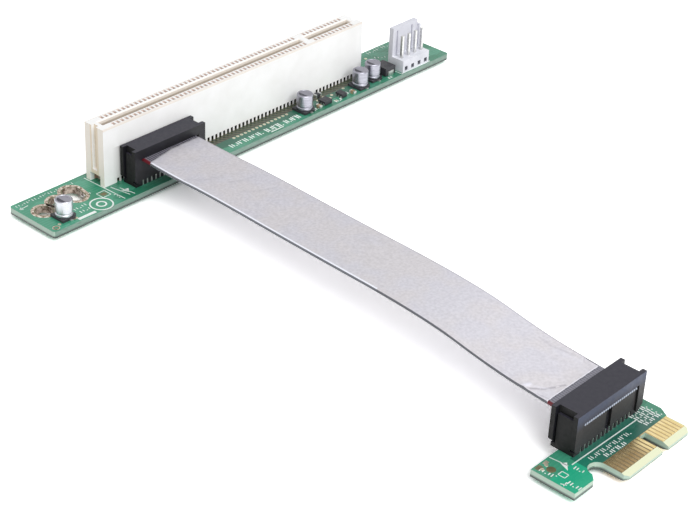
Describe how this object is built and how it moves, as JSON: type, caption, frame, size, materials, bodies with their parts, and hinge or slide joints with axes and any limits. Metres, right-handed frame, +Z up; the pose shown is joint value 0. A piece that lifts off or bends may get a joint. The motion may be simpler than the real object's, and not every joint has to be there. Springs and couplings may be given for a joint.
{
  "type": "pcie riser card",
  "caption": "Long board with a card slot and power header, joined by a foil-screened flat ribbon lead to a small board with an edge tab.",
  "frame": {"origin": "middle of the whole footprint, on the surface that the soldered pin tails stand on", "axes": "+X along the slot board, with the power header at +X; +Y from the edge board towards the slot board; +Z up, out of the card slot"},
  "size_m": [0.1314, 0.1514, 0.0169],
  "materials": {
    "solder_mask": "semi-gloss green solder mask on glass-epoxy",
    "slot_plastic": "satin off-white moulding",
    "contact_gold": "bright gold plating",
    "connector_plastic": "satin black moulding",
    "tinned_metal": "bright tin",
    "ribbon_jacket": "soft grey cable jacket",
    "screen_foil": "creased satin foil",
    "header_plastic": "satin white moulding",
    "can_aluminium": "satin aluminium",
    "black_moulding": "matt black moulding",
    "chip_ceramic": "tan ceramic"
  },
  "bodies": {
    "root": {"slot_board": "solder_mask", "edge_board": "solder_mask", "slot_housing": "slot_plastic", "slot_contacts_near": "contact_gold", "slot_contacts_far": "contact_gold", "slot_connector_base": "connector_plastic", "slot_connector_cover": "connector_plastic", "edge_connector_base": "connector_plastic", "edge_connector_cover": "connector_plastic", "slot_connector_tails": "tinned_metal", "edge_connector_tails": "tinned_metal", "ribbon_cable": "ribbon_jacket", "cable_screen": "screen_foil", "power_header_housing": "header_plastic", "power_header_pins": "tinned_metal", "capacitor_cans": "can_aluminium", "capacitor_bases": "black_moulding", "capacitor_leads": "tinned_metal", "diode_body": "black_moulding", "diode_leads": "tinned_metal", "regulator_body": "black_moulding", "regulator_leads": "tinned_metal", "driver_body": "black_moulding", "driver_leads": "tinned_metal", "chip_bodies": "chip_ceramic", "chip_ends": "tinned_metal", "inductor_body": "black_moulding", "inductor_ends": "tinned_metal"}
  },
  "joints": []
}
